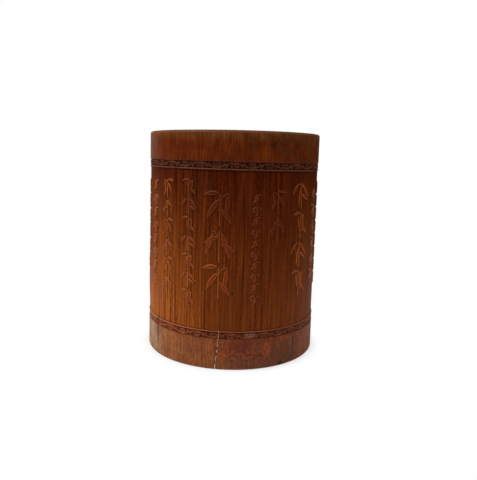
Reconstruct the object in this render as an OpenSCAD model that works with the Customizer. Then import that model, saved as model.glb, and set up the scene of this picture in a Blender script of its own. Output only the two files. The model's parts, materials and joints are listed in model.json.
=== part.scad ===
// Carved bamboo brush pot.
// A turned length of culm has its ground cut back to leave the outer skin standing as plain bands,
// fillets, scroll friezes and columns of bamboo sprays. A turned disc is let into the foot as the floor.
// Millimetres, +Z up, origin at the centre of the foot. Azimuth 0 faces -Y and grows towards +X.

/* [Pot] */
// Height from the foot to the lip
pot_h = 151.8; // [120:0.2:180]
// Outer diameter over the skin at the mouth
mouth_d = 118.6; // [116:0.2:122]
// Outer diameter over the skin at the foot
foot_d = 120.4; // [118:0.2:124]
// Diameter of the bore
bore_d = 101; // [90:0.5:102]
// Radius of the worn outer edge of the lip
lip_round = 1.2; // [0.5:0.1:2]
// Radius of the worn inner edge of the lip
bore_round = 1.6; // [0.5:0.1:3]
// Radius of the outer edge of the foot
foot_round = 1; // [0.5:0.1:3]

/* [Floor] */
// Thickness of the floor disc
floor_t = 8; // [4:0.5:12]
// Height of the disc's underside above the foot's edge
floor_recess = 2; // [1:0.5:4]
// Width of the shoulder that the disc seats against
shoulder_w = 3; // [2:0.5:3]
// Glue gap round the disc
glue_gap = 0.1; // [0.05:0.05:0.2]

/* [Carving] */
// Depth of the carved ground under the skin
relief = 0.5; // [0.4:0.1:1.2]
// Height of the plain band at the mouth
rim_band_h = 19.4; // [12:0.2:22]
// Height of the plain band at the foot
foot_band_h = 20.6; // [14:0.2:26]
// Height of each scroll frieze
frieze_h = 4.2; // [4.2:0.2:6]
// Height of the fillet between a frieze and the carved field
fillet_h = 1; // [0.6:0.1:1.6]
// Number of scrolls round each frieze, an even number
scrolls = 34; // [28:2:36]
// Width of a scroll's raised line
line_w = 0.5; // [0.4:0.05:0.6]
// Width of a spray's stem
stem_w = 0.9; // [0.6:0.1:1.2]
// Width of a spray's twigs
twig_w = 0.6; // [0.4:0.1:0.8]

/* [Hidden] */
foot_r = foot_d / 2;
mouth_r = mouth_d / 2;
bore_r = bore_d / 2;
seat_r = bore_r + shoulder_w;
floor_top = floor_recess + floor_t;
rim_z = pot_h - rim_band_h;
upper_fillet_z = rim_z - frieze_h - fillet_h;
lower_frieze_z = foot_band_h;
lower_fillet_z = foot_band_h + frieze_h;
field_z = lower_fillet_z + fillet_h;
field_h = upper_fillet_z - field_z;

arc_steps = 6;         // facets in a worn edge
frieze_sink = 0.1;     // scrolls stay this far under the bands beside them
scroll_gap = 0.2;      // cut between one scroll and the next
vine_rise = 1.3;       // height of the vine's wave
vine_steps = 6;
curl_turns = 1.5;
curl_steps = 10;
curl_r = 1.3;
curl_shrink = 0.75;    // share of a curl's radius that is gone at its eye
curl_stretch = 1.7;    // a curl is this much wider than it is high
curl_drop = 0.35;      // a curl's centre hangs this far under the frieze's middle
joint_low = 0.42;      // a stem joint starts this share of its pitch under a cluster's middle
joint_len = 0.88;      // length of a stem joint as a share of its pitch
split_depth = 4;
reach = 8;             // length of the prisms that cut through the skin
$fn = 96;

// Each spray: [azimuth, foot and top as shares of the field's height, clusters, cluster size].
SPRAYS = [
    [ -61, 0.21, 0.92,  8,  9], [ -46, 0.18, 0.93,  6, 13],
    [ -28, 0.13, 0.94,  7, 12], [  -8, 0.19, 0.87,  3, 23],
    [  14, 0.17, 0.86, 10,  7], [  28, 0.55, 0.90,  2, 14],
    [  48, 0.18, 0.94,  4, 18], [  66, 0.24, 0.90,  6, 10],
    [  82, 0.20, 0.93,  8,  9], [ 100, 0.14, 0.92,  6, 13],
    [ 121, 0.20, 0.88,  3, 22], [ 141, 0.13, 0.94,  7, 12],
    [ 157, 0.50, 0.90,  3, 13], [ 176, 0.16, 0.93,  5, 15],
    [-165, 0.22, 0.86,  9,  7], [-148, 0.14, 0.94,  6, 13],
    [-128, 0.20, 0.90,  4, 18], [-109, 0.15, 0.93,  7, 12],
    [ -93, 0.24, 0.86,  9,  7], [ -78, 0.30, 0.92,  6, 10]
];

// Leaf clusters for a cluster size of 1: [x, y of the leaf's root, lean from straight down, length, width].
LEAVES = [
    [[-0.03, 0.43, -42, 0.66, 0.14], [0.03, 0.36,  9, 0.80, 0.16], [0.17, 0.45, 38, 0.56, 0.13],
     [-0.02, 0.08, -58, 0.46, 0.12]],
    [[-0.16, 0.40, -20, 0.64, 0.14], [0.02, 0.30, -66, 0.50, 0.12], [0.05, 0.42, 19, 0.78, 0.15],
     [ 0.03, 0.10,  62, 0.48, 0.12]],
    [[ 0.20, 0.44,  -9, 0.72, 0.14], [-0.15, 0.37, 13, 0.64, 0.14], [-0.02, 0.47, -79, 0.44, 0.11],
     [ 0.04, 0.02,  48, 0.50, 0.13]],
    [[-0.24, 0.42,   7, 0.60, 0.13], [0.03, 0.47, 81, 0.46, 0.12], [0.02, 0.31, 33, 0.62, 0.14],
     [-0.03, 0.05, -36, 0.52, 0.13]]
];

// The curved twig of each cluster: [x, y of the arc's centre, radius, start and end angle].
TWIGS = [
    [ 0.22, 0.24, 0.22, 88, 184], [-0.24, 0.20, 0.25,  -6, 82],
    [ 0.24, 0.16, 0.25, 92, 190], [-0.26, 0.18, 0.27, -10, 86]
];

function spray_name(i) = str("spray_", i < 10 ? "0" : "", i);

// Outer radius of the skin, and of the carved ground under it, at a height.
function skin_r(z) = foot_r + (mouth_r - foot_r) * z / pot_h;
function ground_r(z) = skin_r(z) - relief;

// Points of an arc, from angle a0 to a1.
function arc(cx, cy, r, a0, a1) =
    [for (i = [0 : arc_steps]) let (a = a0 + (a1 - a0) * i / arc_steps) [cx + r * cos(a), cy + r * sin(a)]];

function reversed(points) = [for (i = [len(points) - 1 : -1 : 0]) points[i]];

// The turned outside of the pot, as a solid.
module envelope() {
    rotate_extrude()
        polygon(concat(
            [[0, 0]],
            arc(skin_r(foot_round) - foot_round, foot_round, foot_round, -90, 0),
            arc(skin_r(pot_h - lip_round) - lip_round, pot_h - lip_round, lip_round, 0, 90),
            [[0, pot_h]]));
}

// A ring of skin between two heights, from the ground out to a depth under the skin's surface.
module skin_ring(z0, z1, inner = relief, outer = 0) {
    rotate_extrude()
        polygon([[skin_r(z0) - inner, z0], [skin_r(z0) - outer, z0],
                 [skin_r(z1) - outer, z1], [skin_r(z1) - inner, z1]]);
}

// Puts a flat shape on the wall at an azimuth and height, and extrudes it outwards through the skin.
module on_wall(azimuth, z, start = ground_r(pot_h) - 2) {
    rotate([0, 0, azimuth])
        translate([0, 0, z])
            rotate([90, 0, 0])
                translate([0, 0, start])
                    linear_extrude(reach)
                        children();
}

// The filled split wanders up from the foot and ends in the field. Each point is [x, height, half-width].
split_azimuth = -8.4;
split_line = [[-1.2, -1, 0.5], [-0.9, 6, 0.5], [-0.2, 10, 0.45], [0.3, 15, 0.3],
              [0.9, 22, 0.2], [1.1, 30, 0.15], [1, 40, 0.1]];
module split_shape(line = split_line) {
    polygon(concat(
        [for (p = line) [p[0] - p[2], p[1]]],
        reversed([for (p = line) [p[0] + p[2], p[1]]])));
}

// The open split, as points of the same kind.
open_split_azimuth = -55.6;
open_split_line = [[0.3, -1, 0.15], [0, 8, 0.3], [-0.1, 18, 0.45], [0.2, 26, 0.3], [0.3, 38, 0.1]];

module splits() {
    on_wall(split_azimuth, 0, skin_r(0) - split_depth) split_shape();
    on_wall(open_split_azimuth, 0, skin_r(0) - split_depth) split_shape(open_split_line);
}

module culm_wall() {
    color("sienna")
        difference() {
            intersection() {
                envelope();
                cylinder(h = pot_h, r1 = ground_r(0), r2 = ground_r(pot_h));
            }
            translate([0, 0, floor_top - 1])
                cylinder(h = pot_h, r = bore_r);
            translate([0, 0, -1])
                cylinder(h = floor_top + 1, r = seat_r);
            rotate_extrude()
                polygon(concat(
                    arc(bore_r + bore_round, pot_h - bore_round, bore_round, 180, 90),
                    [[bore_r + bore_round, pot_h + 1], [bore_r - 1, pot_h + 1],
                     [bore_r - 1, pot_h - bore_round]]));
            splits();
        }
}

module floor_disc() {
    color("peru")
        translate([0, 0, floor_recess])
            cylinder(h = floor_t, r = seat_r - glue_gap);
}

// A band of bare skin at the mouth or the foot, with the pot's worn edge.
module plain_band(z0, z1) {
    color("saddlebrown")
        difference() {
            intersection() {
                envelope();
                skin_ring(z0, z1, relief, -1);
            }
            splits();
        }
}

module fillet_band(z0) {
    color("chocolate")
        difference() {
            skin_ring(z0, z0 + fillet_h);
            splits();
        }
}

// Points of a flattened spiral that winds in to its eye, moved out from the line's middle.
function curl_edge(out) =
    [for (i = [0 : curl_steps])
        let (s = i / curl_steps, a = 90 - 360 * curl_turns * s, r = curl_r * (1 - curl_shrink * s) + out)
        [curl_stretch * r * cos(a), r * sin(a)]];

module curl() {
    polygon(concat(curl_edge(-line_w / 2), reversed(curl_edge(line_w / 2))));
}

// Points of one wave of the vine that carries the curls, as long as its pitch, with its crest in the middle.
function vine_edge(pitch, up) =
    [for (i = [0 : vine_steps])
        let (x = pitch * (i / vine_steps - 0.5)) [x, vine_rise * cos(180 * x / pitch) + up]];

module vine(pitch) {
    polygon(concat(vine_edge(pitch, -line_w / 2), reversed(vine_edge(pitch, line_w / 2))));
}

// A frieze: curls on a running vine, upright and upside down in turn.
module frieze(z0) {
    mid = z0 + frieze_h / 2;
    pitch = 2 * PI * skin_r(mid) / scrolls;
    color("brown")
        difference() {
            intersection() {
                skin_ring(z0, z0 + frieze_h, relief, frieze_sink);
                union()
                    for (i = [0 : scrolls - 1])
                        on_wall(i * 360 / scrolls, mid)
                            mirror([0, i % 2, 0]) {
                                vine(pitch - scroll_gap);
                                translate([0, -curl_drop])
                                    curl();
                            }
            }
            splits();
        }
}

// A leaf, as a lens that hangs from its root, leaning from straight down.
module leaf(x, y, lean, length, width) {
    r = (length * length + width * width) / (4 * width);
    translate([x, y])
        rotate(lean)
            translate([0, -length / 2])
                intersection() {
                    translate([r - width / 2, 0]) circle(r);
                    translate([width / 2 - r, 0]) circle(r);
                }
}

// A twig, as an arc of a ring between two angles less than half a turn apart.
module twig(x, y, radius, a0, a1) {
    far = 2 * radius;
    translate([x, y])
        intersection() {
            difference() {
                circle(radius + twig_w / 2);
                circle(radius - twig_w / 2);
            }
            polygon([[0, 0], far * [cos(a0), sin(a0)], far * [cos((a0 + a1) / 2), sin((a0 + a1) / 2)],
                     far * [cos(a1), sin(a1)]]);
        }
}

module cluster(kind, size) {
    t = TWIGS[kind];
    for (l = LEAVES[kind])
        leaf(l[0] * size, l[1] * size, l[2], l[3] * size, l[4] * size);
    twig(t[0] * size, t[1] * size, t[2] * size, t[3], t[4]);
}

// A spray of bamboo: a jointed stem with leaf clusters down it, each cut to the skin's thickness.
module spray(i) {
    s = SPRAYS[i];
    z0 = field_z + s[1] * field_h;
    pitch = (s[2] - s[1]) * field_h / s[3];
    color("orangered")
        for (k = [0 : s[3] - 1])
            intersection() {
                skin_ring(field_z, upper_fillet_z);
                on_wall(s[0], z0 + (k + 0.5) * pitch)
                    mirror([(i + k) % 2, 0, 0]) {
                        cluster((i + 2 * k) % len(LEAVES), s[4]);
                        translate([-stem_w / 2, -joint_low * pitch])
                            square([stem_w, joint_len * pitch]);
                    }
            }
}

// Putty that is level with the skin of the foot and, above it, with the carved ground.
module split_filler() {
    color("linen")
        intersection() {
            envelope();
            on_wall(split_azimuth, 0, skin_r(0) - split_depth) split_shape();
            union() {
                cylinder(h = field_z, r = foot_r);
                cylinder(h = pot_h, r1 = ground_r(0), r2 = ground_r(pot_h));
            }
        }
}

culm_wall();
floor_disc();
plain_band(rim_z, pot_h);  // rim_band
frieze(rim_z - frieze_h);  // upper_frieze
fillet_band(upper_fillet_z);  // upper_fillet
fillet_band(lower_fillet_z);  // lower_fillet
frieze(lower_frieze_z);  // lower_frieze
plain_band(0, foot_band_h);  // foot_band
split_filler();
for (i = [0 : len(SPRAYS) - 1])
    spray(i);
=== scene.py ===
"""Looks of the carved bamboo brush pot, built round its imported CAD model. Metres, in the CAD's frame.

Carving is laid out on the unrolled wall: `arc` is the length round the wall from azimuth 0 (-Y, growing
towards +X) and `z` the height, both in millimetres. `wrap` puts such points on the pot.
"""
import json
import math

import bpy
import numpy as np
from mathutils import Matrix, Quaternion, Vector

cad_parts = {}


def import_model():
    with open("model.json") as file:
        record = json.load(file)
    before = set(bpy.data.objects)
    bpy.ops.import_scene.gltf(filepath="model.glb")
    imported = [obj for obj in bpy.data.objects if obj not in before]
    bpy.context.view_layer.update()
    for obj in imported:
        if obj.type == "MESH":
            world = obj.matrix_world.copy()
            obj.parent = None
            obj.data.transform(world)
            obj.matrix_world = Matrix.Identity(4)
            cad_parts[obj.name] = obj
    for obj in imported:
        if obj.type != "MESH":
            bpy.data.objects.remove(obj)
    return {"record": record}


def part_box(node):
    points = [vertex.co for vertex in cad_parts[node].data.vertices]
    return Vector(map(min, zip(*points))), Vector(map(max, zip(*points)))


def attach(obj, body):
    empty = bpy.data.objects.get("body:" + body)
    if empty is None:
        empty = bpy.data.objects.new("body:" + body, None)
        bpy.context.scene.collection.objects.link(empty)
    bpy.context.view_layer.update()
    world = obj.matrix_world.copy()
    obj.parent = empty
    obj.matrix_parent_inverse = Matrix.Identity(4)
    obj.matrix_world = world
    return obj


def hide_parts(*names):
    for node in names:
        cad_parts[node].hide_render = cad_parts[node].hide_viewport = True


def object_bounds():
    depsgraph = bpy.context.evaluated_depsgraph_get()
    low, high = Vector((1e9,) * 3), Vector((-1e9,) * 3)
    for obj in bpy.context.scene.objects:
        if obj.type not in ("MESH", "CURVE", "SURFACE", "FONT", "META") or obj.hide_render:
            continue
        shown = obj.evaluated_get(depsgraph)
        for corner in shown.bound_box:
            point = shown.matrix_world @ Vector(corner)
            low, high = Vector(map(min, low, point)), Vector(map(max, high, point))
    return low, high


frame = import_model()
cad_low, cad_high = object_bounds()

# ---- dimensions, in millimetres

MM = 0.001


def low(node):
    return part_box(node)[0].z / MM


def high(node):
    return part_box(node)[1].z / MM


def widest(node):
    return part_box(node)[1].x / MM


POT_H = cad_high.z / MM
RIM_LOW = low("rim_band")
FOOT_HIGH = high("foot_band")
FIELD_LOW = high("lower_fillet")
FIELD_HIGH = low("upper_fillet")
FIELD_H = FIELD_HIGH - FIELD_LOW
BORE_R = next(m for m in frame["record"]["mounts"] if m["name"] == "mouth_bore")["dims"]["r_mm"]
SEAT_R = widest("floor_disc") + 0.1
FLOOR_LOW = low("floor_disc")
FLOOR_HIGH = high("floor_disc")

TAPER = (widest("rim_band") - widest("lower_fillet")) / (RIM_LOW - low("lower_fillet"))
WALL_R = 60.0            # the radius that arc lengths are measured on
ROUND = 2 * math.pi * WALL_R
RELIEF = 0.5             # height of the skin over the carved ground
SUNK = 0.12              # pieces of skin reach this far into the ground
WIDEST_R = widest("foot_band")
LIP_ROUND = 1.2
LIP_SLANT = 1.0          # the lip is this much lower on one side than on the other
LIP_HIGH_AT = math.radians(80)
SWELL = 0.6              # the culm swells by this much on its left, a third of the way up
SWELL_AT = (math.radians(-85) * WALL_R, 48.0)        # arc and height
SWELL_SIZE = (math.radians(24) * WALL_R, 16.0)
BORE_ROUND = 1.6
FOOT_ROUND = 1.0

# Spacing of grid columns, and the sharpest angles that are shaded smooth.
CULM_STEP = 0.8
BAND_STEP = 0.7
FRIEZE_STEP = 0.19
TURNED_CREASE = 35
CARVED_CREASE = 80


def skin_r(z):
    """Outer radius of the skin at a height."""
    return widest("lower_fillet") + TAPER * (z - low("lower_fillet"))


def ground_r(z):
    return skin_r(z) - RELIEF


# Each split: arc of its middle, darkening at its edges with dirt and painted shade, and points
# [offset, height, half-width] up its line.
SPLITS = {
    "filled": {
        "arc": math.radians(-8.4) * WALL_R,
        "dirt": 0.15,
        "line": np.array([
            (-0.6, -1, 0.34), (-0.4, 6, 0.34), (0.3, 10, 0.36), (0.8, 15, 0.22),
            (1.4, 22, 0.15), (1.6, 30, 0.1), (1.5, 40, 0.08)]),
    },
    "open": {
        "arc": math.radians(-55.6) * WALL_R,
        "dirt": 0.8,
        "line": np.array([
            (0.8, -1, 0.06), (0.5, 3.5, 0.12), (0.4, 8, 0.26), (0.4, 19, 0.36),
            (0.7, 26, 0.26), (0.8, 30, 0.12), (0.8, 40, 0.06)]),
    },
}
SPLIT_DEPTH = 4.0
SPLIT_HALF = 0.5         # half-width of a split's band of columns before it is bent
SPLIT_REACH = 3.0        # columns this far to each side of a split bend with it
SPLIT_FADE = 14.0        # and are straight again this far above its end
FALLEN_DEEP = 0.75       # depth of the hollows that fallen putty leaves
HAIRLINE_ARC = math.radians(7) * WALL_R
PINHOLE_ARC = math.radians(0.6) * WALL_R
PINHOLE_Z = 50.5
PINHOLE_R = 0.62
PINHOLE_DEEP = 1.3
CHIP_AT = 33.8           # azimuth of the foot's chip, in degrees

# Each spray: [azimuth, foot and top as shares of the field's height, clusters, cluster size].
SPRAYS = [
    [-61, 0.21, 0.92, 8, 9], [-46, 0.18, 0.93, 6, 13], [-28, 0.13, 0.94, 7, 12], [-8, 0.19, 0.87, 3, 23],
    [14, 0.17, 0.86, 10, 7], [28, 0.55, 0.90, 2, 14], [48, 0.18, 0.94, 4, 18], [66, 0.24, 0.90, 6, 10],
    [82, 0.20, 0.93, 8, 9], [100, 0.14, 0.92, 6, 13], [121, 0.20, 0.88, 3, 22], [141, 0.13, 0.94, 7, 12],
    [157, 0.50, 0.90, 3, 13], [176, 0.16, 0.93, 5, 15], [-165, 0.22, 0.86, 9, 7], [-148, 0.14, 0.94, 6, 13],
    [-128, 0.20, 0.90, 4, 18], [-109, 0.15, 0.93, 7, 12], [-93, 0.24, 0.86, 9, 7], [-78, 0.30, 0.92, 6, 10],
]

# Leaves of each kind of cluster, for a cluster size of 1: [x, y of the root, lean from straight down,
# length, width].
LEAVES = [
    [[-0.03, 0.43, -42, 0.66, 0.14], [0.03, 0.36, 9, 0.80, 0.16], [0.17, 0.45, 38, 0.56, 0.13],
     [-0.02, 0.08, -58, 0.46, 0.12]],
    [[-0.16, 0.40, -20, 0.64, 0.14], [0.02, 0.30, -66, 0.50, 0.12], [0.05, 0.42, 19, 0.78, 0.15],
     [0.03, 0.10, 62, 0.48, 0.12]],
    [[0.20, 0.44, -9, 0.72, 0.14], [-0.15, 0.37, 13, 0.64, 0.14], [-0.02, 0.47, -79, 0.44, 0.11],
     [0.04, 0.02, 48, 0.50, 0.13]],
    [[-0.24, 0.42, 7, 0.60, 0.13], [0.03, 0.47, 81, 0.46, 0.12], [0.02, 0.31, 33, 0.62, 0.14],
     [-0.03, 0.05, -36, 0.52, 0.13]],
]
# The curved twig of each kind: [x, y of the arc's centre, radius, start and end angle].
TWIGS = [[0.22, 0.24, 0.22, 88, 184], [-0.24, 0.20, 0.25, -6, 82], [0.24, 0.16, 0.25, 92, 190],
         [-0.26, 0.18, 0.27, -10, 86]]
STEM_W = 0.9
TWIG_W = 0.6
JOINT_LOW = 0.42         # share of the pitch from a cluster's middle down to the foot of its stem's joint
JOINT_LEN = 0.88         # and the joint's length

# ---- the unrolled wall


def past(arc, middle):
    """Arc from a middle to a point, the shorter way round."""
    return (arc - middle + ROUND / 2) % ROUND - ROUND / 2


def wrap(arc, z, r):
    """Points on the pot, in metres, at an arc, a height and a radius in millimetres. The rim's cut is
    aslant, and the culm isn't quite round."""
    a = arc / WALL_R
    beside, above = past(arc, SWELL_AT[0]) / SWELL_SIZE[0], (z - SWELL_AT[1]) / SWELL_SIZE[1]
    swell = SWELL * np.exp(-beside ** 2 - above ** 2)
    r = np.where(r > BORE_R - 1, np.minimum(r + swell, np.maximum(r, WIDEST_R - 0.03)), r)
    share = np.clip((z - RIM_LOW) / (POT_H - RIM_LOW), 0, 1)
    z = z - LIP_SLANT / 2 * (1 - np.cos(a - LIP_HIGH_AT)) * share
    return np.stack(np.broadcast_arrays(r * np.sin(a), -r * np.cos(a), z), -1) * MM


def waves(arc, z, low_k, high_k, seed, drift=0.0):
    """A smooth random wave round the wall, from -1 to 1, with low_k to high_k swells in one turn."""
    rng = np.random.default_rng(seed)
    ks = rng.integers(low_k, high_k, 14)
    phases = rng.uniform(0, 2 * math.pi, 14)
    drifts = rng.uniform(-drift, drift, 14)
    total = sum(np.cos(k * arc / WALL_R + p + d * z) for k, p, d in zip(ks, phases, drifts))
    return total / math.sqrt(14) / 1.6


def split_at(split, z):
    """Offset and half-width of a split at a height."""
    line = split["line"]
    return np.interp(z, line[:, 1], line[:, 0]), np.interp(z, line[:, 1], line[:, 2])


def bend(arc, z):
    """Moves columns of the wall's grid sideways, so that those beside a split follow its edges."""
    moved = arc + 0 * z
    for split in SPLITS.values():
        b = past(arc, split["arc"]) + 0 * z
        offset, half = split_at(split, z)
        inside = offset + b / SPLIT_HALF * half
        share = (SPLIT_REACH - np.abs(b)) / (SPLIT_REACH - SPLIT_HALF)
        beside = b + (offset + np.sign(b) * (half - SPLIT_HALF)) * share
        bent = np.where(np.abs(b) <= SPLIT_HALF, inside, np.where(np.abs(b) < SPLIT_REACH, beside, b))
        moved += (bent - b) * np.clip((split["line"][-1, 1] + SPLIT_FADE - z) / SPLIT_FADE, 0, 1)
    return moved


def split_marks(arcs, z):
    """Depth of the splits and, from 1 at an edge down to 0, darkening beside them with dirt and painted
    shade, at unbent columns.
    """
    deep, dirt = 0.0, 0.0
    for split in SPLITS.values():
        away, end = np.abs(past(arcs, split["arc"])), split["line"][-1, 1]
        deep = deep + (away < SPLIT_HALF - 0.02) * SPLIT_DEPTH * np.clip((end - z) / 8, 0, 1)
        wide = np.clip(split_at(split, z)[1] / 0.3, 0, 1) * (z < end)
        dirt = np.maximum(dirt, split["dirt"] * wide * np.exp(-((away - SPLIT_HALF) / 0.4) ** 2))
    return deep, dirt


def apart(numbers):
    """The numbers in order, without those that are almost the same as the one before."""
    found = sorted(numbers)
    return [n for i, n in enumerate(found) if i == 0 or n - found[i - 1] > 0.02]


def columns(start, end, step, extra=()):
    """Arcs of grid columns from start to end, closer together beside the splits."""
    arcs = set(np.linspace(start, end, max(2, round((end - start) / step)) + 1).round(4))
    near = (0, 0.2, 0.45, SPLIT_HALF, 0.6, 0.8, 1.1, 1.5, 2.2, SPLIT_REACH)
    for split in SPLITS.values():
        for turn in (-ROUND, 0, ROUND):
            mid = split["arc"] + turn
            arcs = {a for a in arcs if abs(a - mid) > SPLIT_REACH}
            arcs |= {round(mid + side * n, 4) for n in near for side in (-1, 1)}
    arcs |= {round(a, 4) for a in extra}
    return np.array(apart(a for a in arcs if start - 1e-3 <= a <= end + 1e-3))


# ---- meshes


def grid_faces(index, closed):
    """Quads over a grid of vertex numbers, [row, column], wound so that rows go up and columns right."""
    if closed:
        index = np.hstack([index, index[:, :1]])
    quads = np.stack([index[:-1, :-1], index[:-1, 1:], index[1:, 1:], index[1:, :-1]], -1)
    return quads.reshape(-1, 4).tolist()


def numbered(grid):
    """Numbers of the vertices of a grid of points."""
    return np.arange(grid.size // 3).reshape(grid.shape[:2])


def add_piece(node, points, faces, materials, wear=None, material_of=None, crease=TURNED_CREASE):
    """Makes the mesh piece that stands for a CAD node and rides on the pot. wear is 1 where the
    surface is rubbed light, with painted highlight in places, and -1 where it holds dirt, with painted
    shade in corners and hollows."""
    mesh = bpy.data.meshes.new("fine_" + node)
    mesh.from_pydata(points.tolist(), [], faces)
    mesh.shade_smooth()
    mesh.set_sharp_from_angle(angle=math.radians(crease))
    for material in materials:
        mesh.materials.append(material)
    if material_of is not None:
        mesh.polygons.foreach_set("material_index", material_of)
    if wear is not None:
        layer = mesh.attributes.new("wear", "FLOAT", "POINT")
        layer.data.foreach_set("value", wear.astype(np.float32))
    piece = bpy.data.objects.new(mesh.name, mesh)
    bpy.context.scene.collection.objects.link(piece)
    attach(piece, "root")
    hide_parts(node)


def shell(outer, inner, wear, closed):
    """Points, faces and wear and shade of a closed shell between an outer grid and two rows of inner
    points.
    """
    points = np.concatenate([outer.reshape(-1, 3), inner.reshape(-1, 3)])
    front = numbered(outer)
    back = front.size + numbered(inner)
    faces = grid_faces(front, closed) + grid_faces(back[::-1], closed)
    faces += grid_faces(np.stack([back[0], front[0]]), closed)
    faces += grid_faces(np.stack([front[-1], back[1]]), closed)
    if not closed:
        faces.append(front[::-1, 0].tolist() + back[:, 0].tolist())
        faces.append(front[:, -1].tolist() + back[::-1, -1].tolist())
    return points, faces, np.concatenate([wear.ravel(), np.full(back.size, -1.0)])


def ring_shell(arcs, z, outer, wear, closed):
    """Closed shell of a ring or a stretch of one, from its outer grid at the heights z."""
    ends = z[[0, -1]]
    inner = wrap(bend(arcs[None, :], ends), ends, ground_r(ends) - SUNK)
    return shell(outer, inner, wear, closed)


def add_shells(node, shells, materials, crease=TURNED_CREASE):
    """Makes one piece of several shells."""
    faces, count = [], 0
    for points, own_faces, _ in shells:
        faces += [[v + count for v in face] for face in own_faces]
        count += len(points)
    add_piece(node, np.concatenate([s[0] for s in shells]), faces, materials,
              np.concatenate([s[2] for s in shells]), crease=crease)


def ring_piece(node, profile, arcs_list, depth_more, materials, crease=TURNED_CREASE):
    """A ring of skin. profile is rows of (depth under the skin, height, wear and shade), arcs_list the
    columns of its stretches, and depth_more(arc, z) gives added depth and wear."""
    depth, z, worn_and_shaded = (np.array(c)[:, None] for c in zip(*profile))
    closed = len(arcs_list) == 1
    shells = []
    for arcs in arcs_list:
        column = bend(arcs[None, :], z)
        extra, extra_wear_and_shade = depth_more(column, z)
        dirt = split_marks(arcs[None, :], z)[1]
        extra, extra_wear_and_shade = extra + 0.15 * dirt ** 4, extra_wear_and_shade - dirt
        outer = wrap(column, z, skin_r(z) - depth - extra)
        shells.append(ring_shell(arcs, z, outer, worn_and_shaded + extra_wear_and_shade, closed))
    add_shells(node, shells, materials, crease)


def stretches(step):
    """Columns of the two stretches of a ring that both splits cut through."""
    left, right = SPLITS["open"]["arc"], SPLITS["filled"]["arc"]
    return [columns(left + SPLIT_HALF, right - SPLIT_HALF, step),
            columns(right + SPLIT_HALF, left + ROUND - SPLIT_HALF, step)]


def full_turn(step):
    """Columns of an unbroken ring, as its only stretch."""
    return [np.linspace(0, ROUND, round(ROUND / step) + 1)[:-1]]


def round_edge(radius, start, end, steps):
    """(depth, height over the arc's centre) along a rounded edge, between two angles from straight out."""
    angles = np.radians(np.linspace(start, end, steps))
    return [(radius * (1 - math.cos(a)), radius * math.sin(a)) for a in angles]


# ---- carving

GRID = 0.22              # spacing of a spray's grid
SKIRT = 0.22             # a stroke's flank reaches this far outside its outline
SHOULDER = 0.48          # and rises to its crown over this distance inside
CUT = 0.30               # width of the cut that parts a leaf from what lies under it
CUT_FLOOR = 0.35         # height of that cut's floor, as a share of the relief
MARGIN = 0.9             # a stroke changes nothing further outside its outline than this
RIB_HALF = 0.17          # half-width of a leaf's midrib, and its depth as a share of the relief
RIB_DEEP = 0.16
# Tone from the foot of a stroke's flank to its crown, at shares of the way: dirt and painted shade, rubbed
# light, plain.
TONE_AT = [0.0, 0.22, 0.38, 0.55, 0.85, 1.0]
TONE = [-1.0, -0.9, 0.2, 1.0, 0.8, 0.0]


def stroke(points, half_widths, cut=False, rib=False):
    """A carved stroke along a line of points, with its half-width at each."""
    return {"points": np.array(points, float), "half": np.array(half_widths, float), "cut": cut, "rib": rib}


def distance(line, x, y):
    """Distance outside a stroke's outline, negative inside, and distance from its middle line."""
    best = np.full(x.shape, 99.0)
    middle = np.full(x.shape, 99.0)
    points, half = line["points"], line["half"]
    for (ax, ay), (bx, by), wa, wb in zip(points, points[1:], half, half[1:]):
        dx, dy = bx - ax, by - ay
        u = np.clip(((x - ax) * dx + (y - ay) * dy) / (dx * dx + dy * dy), 0, 1)
        away = np.hypot(x - ax - u * dx, y - ay - u * dy)
        out = away - (wa + (wb - wa) * u)
        middle = np.where(out < best, away, middle)
        best = np.minimum(out, best)
    return best, middle


def blank(xs, ys, x, y):
    """An uncarved panel over a grid: xs and ys find a window in it, x and y are its points."""
    return {"xs": xs, "ys": ys, "x": x, "y": y, "outside": np.full(x.shape, 9.0),
            "height": np.zeros(x.shape), "wear": np.full(x.shape, -1.0)}


def carve(panel, line):
    """Adds a stroke to a panel. Heights are shares of the relief."""
    reach = line["half"].max() + MARGIN
    (x0, y0), (x1, y1) = line["points"].min(0) - reach, line["points"].max(0) + reach
    i0, i1 = np.searchsorted(panel["xs"], (x0, x1))
    j0, j1 = np.searchsorted(panel["ys"], (y0, y1))
    window = (slice(i0, i1), slice(j0, j1))
    out, middle = distance(line, panel["x"][window], panel["y"][window])
    share = np.clip((SKIRT - out) / (SKIRT + SHOULDER), 0, 1)
    rise = share * share * (3 - 2 * share)
    tone = np.interp(share, TONE_AT, TONE)
    height, wear = panel["height"][window], panel["wear"][window]
    if line["rib"]:
        # The midrib's groove is painted darker, as shade.
        groove = np.exp(-(middle / RIB_HALF) ** 2) * (share > 0.99)
        rise = rise - RIB_DEEP * groove
        tone = tone - 0.7 * groove
    if line["cut"]:
        # The cut is painted dark, as shade.
        gap = np.clip(out / CUT, 0, 1)
        height = np.minimum(height, CUT_FLOOR + (1 - CUT_FLOOR) * gap)
        wear = np.where(out < CUT, np.minimum(wear, -1 + 1.6 * gap), wear)
    over = rise > height
    panel["height"][window] = np.where(over, rise, height)
    panel["wear"][window] = np.where(over, tone, wear)
    panel["outside"][window] = np.minimum(panel["outside"][window], out)


def leaf_stroke(x, y, lean, length, width):
    """A bamboo leaf that hangs from its root: widest in its upper half, drooping, with a midrib."""
    t = np.linspace(0, 1, 12)
    a = math.radians(lean)
    down = np.array([math.sin(a), -math.cos(a)])
    side = np.array([math.cos(a), math.sin(a)])
    droop = 0.07 * length * math.sin(a) * np.sin(math.pi * t)
    points = np.array([x, y]) + np.outer(t * length, down) + np.outer(droop, side)
    half = 0.06 + (width / 2 - 0.06) * np.sin(math.pi * t ** 0.8) ** 1.15
    return stroke(points, half, cut=True, rib=width > 1.2)


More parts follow.
